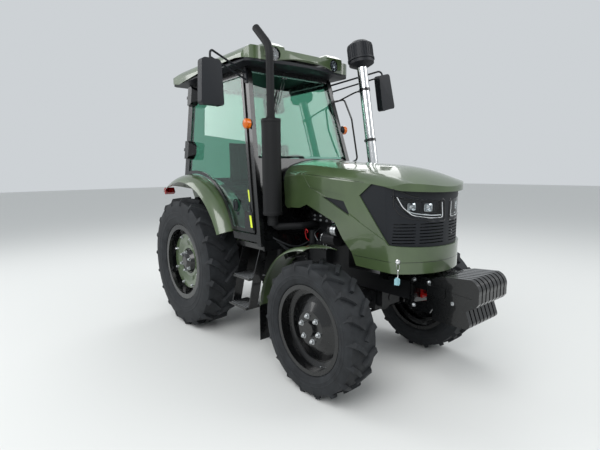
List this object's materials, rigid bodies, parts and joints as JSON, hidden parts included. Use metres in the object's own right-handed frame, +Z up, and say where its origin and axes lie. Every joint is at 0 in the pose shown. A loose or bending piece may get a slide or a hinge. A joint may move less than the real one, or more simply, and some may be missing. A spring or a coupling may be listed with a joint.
{
  "type": "farm tractor with cab",
  "caption": "Compact four-wheel-drive farm tractor with a glazed cab, sloped hood, upright exhaust, front weights and a rear three-point hitch.",
  "frame": {"origin": "on the ground, midway between the front weights and the rear link ends, on the centre plane", "axes": "+X forward, +Y to the tractor's left, +Z up"},
  "size_m": [4.1622, 2.1839, 2.8697],
  "materials": {
    "green_paint": "gloss moss green enamel on pressed steel",
    "black_paint": "satin black enamel on steel",
    "cast_iron": "black painted casting",
    "dark_plastic": "fine grained dark grey plastic",
    "tyre": "dark rubber",
    "tinted_glass": "green tinted safety glass",
    "lamp_glass": "clear lamp lens",
    "amber_lens": "amber acrylic lens",
    "red_lens": "red acrylic lens",
    "chrome": "polished chrome on steel pipe",
    "seat_vinyl": "black seat vinyl"
  },
  "bodies": {
    "chassis": {"rear_axle_tubes": "cast_iron", "front_axle_beam": "cast_iron", "engine": "cast_iron", "transmission": "cast_iron", "front_support": "cast_iron", "radiator": "black_paint", "engine_fan": "black_paint", "fuel_tank": "dark_plastic", "front_weights": "cast_iron", "weight_carrier": "black_paint", "cab_tub": "black_paint", "cab_frame": "black_paint", "cab_glass": "tinted_glass", "rear_fenders": "green_paint", "cab_roof": "green_paint", "roof_liner": "dark_plastic", "roof_lamps": "lamp_glass", "exhaust": "black_paint", "intake_pipe": "chrome", "intake_cleaner": "dark_plastic", "handrail": "black_paint", "mirrors": "dark_plastic", "signal_lamps": "amber_lens", "tail_lamps": "red_lens", "cab_steps": "black_paint", "seat_base": "black_paint", "seat_pads": "seat_vinyl", "dash_console": "dark_plastic", "hitch_frame": "cast_iron", "drawbar": "black_paint"},
    "hood": {"hood_shell": "green_paint", "hood_mask": "dark_plastic", "headlamps": "lamp_glass", "hood_vents": "dark_plastic"},
    "door_left": {"door_frame_left": "black_paint", "door_glass_left": "tinted_glass"},
    "door_right": {"door_frame_right": "black_paint", "door_glass_right": "tinted_glass"},
    "knuckle_left": {"knuckle_left": "black_paint", "fender_front_left": "green_paint"},
    "knuckle_right": {"knuckle_right": "black_paint", "fender_front_right": "green_paint"},
    "tie_rod": {"tie_rod": "black_paint"},
    "wheel_front_left": {"tyre_front_left": "tyre", "rim_front_left": "black_paint"},
    "wheel_front_right": {"tyre_front_right": "tyre", "rim_front_right": "black_paint"},
    "wheel_rear_left": {"tyre_rear_left": "tyre", "rim_rear_left": "black_paint", "disc_rear_left": "green_paint"},
    "wheel_rear_right": {"tyre_rear_right": "tyre", "rim_rear_right": "black_paint", "disc_rear_right": "green_paint"},
    "lift_arms": {"lift_arms": "black_paint"},
    "lift_rods": {"lift_rods": "black_paint"},
    "lower_links": {"lower_links": "black_paint"}
  },
  "joints": [
    {"name": "hood_lift", "type": "hinge", "parent": "chassis", "child": "hood", "pos_m": [0.3315, 0, 1.65], "axis": [0, -1, 0], "range_deg": [0, 50]},
    {"name": "door_left_swing", "type": "hinge", "parent": "chassis", "child": "door_left", "pos_m": [-1.0725, 0.607, 1.86], "axis": [0, -0.1054, 0.9944], "range_deg": [0, 70]},
    {"name": "door_right_swing", "type": "hinge", "parent": "chassis", "child": "door_right", "pos_m": [-1.0725, -0.607, 1.86], "axis": [0, -0.1054, -0.9944], "range_deg": [0, 70]},
    {"name": "steer_left", "type": "hinge", "parent": "chassis", "child": "knuckle_left", "pos_m": [1.1035, 0.6, 0.498], "axis": [0, 0, 1], "range_deg": [-35, 35]},
    {"name": "steer_right", "type": "hinge", "parent": "chassis", "child": "knuckle_right", "pos_m": [1.1035, -0.6, 0.498], "axis": [0, 0, 1], "range_deg": [-35, 35]},
    {"name": "tie_rod_swing", "type": "hinge", "parent": "knuckle_left", "child": "tie_rod", "pos_m": [0.9435, 0.6, 0.399], "axis": [0, 0, 1], "range_deg": [-35, 35]},
    {"name": "spin_front_left", "type": "hinge", "parent": "knuckle_left", "child": "wheel_front_left", "pos_m": [1.1035, 0.672, 0.498], "axis": [0, 1, 0], "continuous": true},
    {"name": "spin_front_right", "type": "hinge", "parent": "knuckle_right", "child": "wheel_front_right", "pos_m": [1.1035, -0.672, 0.498], "axis": [0, 1, 0], "continuous": true},
    {"name": "spin_rear_left", "type": "hinge", "parent": "chassis", "child": "wheel_rear_left", "pos_m": [-0.8865, 0.655, 0.685], "axis": [0, 1, 0], "continuous": true},
    {"name": "spin_rear_right", "type": "hinge", "parent": "chassis", "child": "wheel_rear_right", "pos_m": [-0.8865, -0.655, 0.685], "axis": [0, 1, 0], "continuous": true},
    {"name": "hitch_lift", "type": "hinge", "parent": "chassis", "child": "lift_arms", "pos_m": [-1.2165, 0, 0.985], "axis": [0, 1, 0], "range_deg": [-14, 38]},
    {"name": "lift_rod_swing", "type": "hinge", "parent": "lift_arms", "child": "lift_rods", "pos_m": [-1.5565, 0, 0.985], "axis": [0, 1, 0], "range_deg": [-38, 14]},
    {"name": "lower_link_swing", "type": "hinge", "parent": "chassis", "child": "lower_links", "pos_m": [-1.2165, 0, 0.5], "axis": [0, 1, 0], "range_deg": [-14, 38]}
  ],
  "couplings": [
    {"joint": "steer_right", "follows": "steer_left", "ratio": 1},
    {"joint": "tie_rod_swing", "follows": "steer_left", "ratio": -1},
    {"joint": "lower_link_swing", "follows": "hitch_lift", "ratio": 1},
    {"joint": "lift_rod_swing", "follows": "hitch_lift", "ratio": -1}
  ]
}
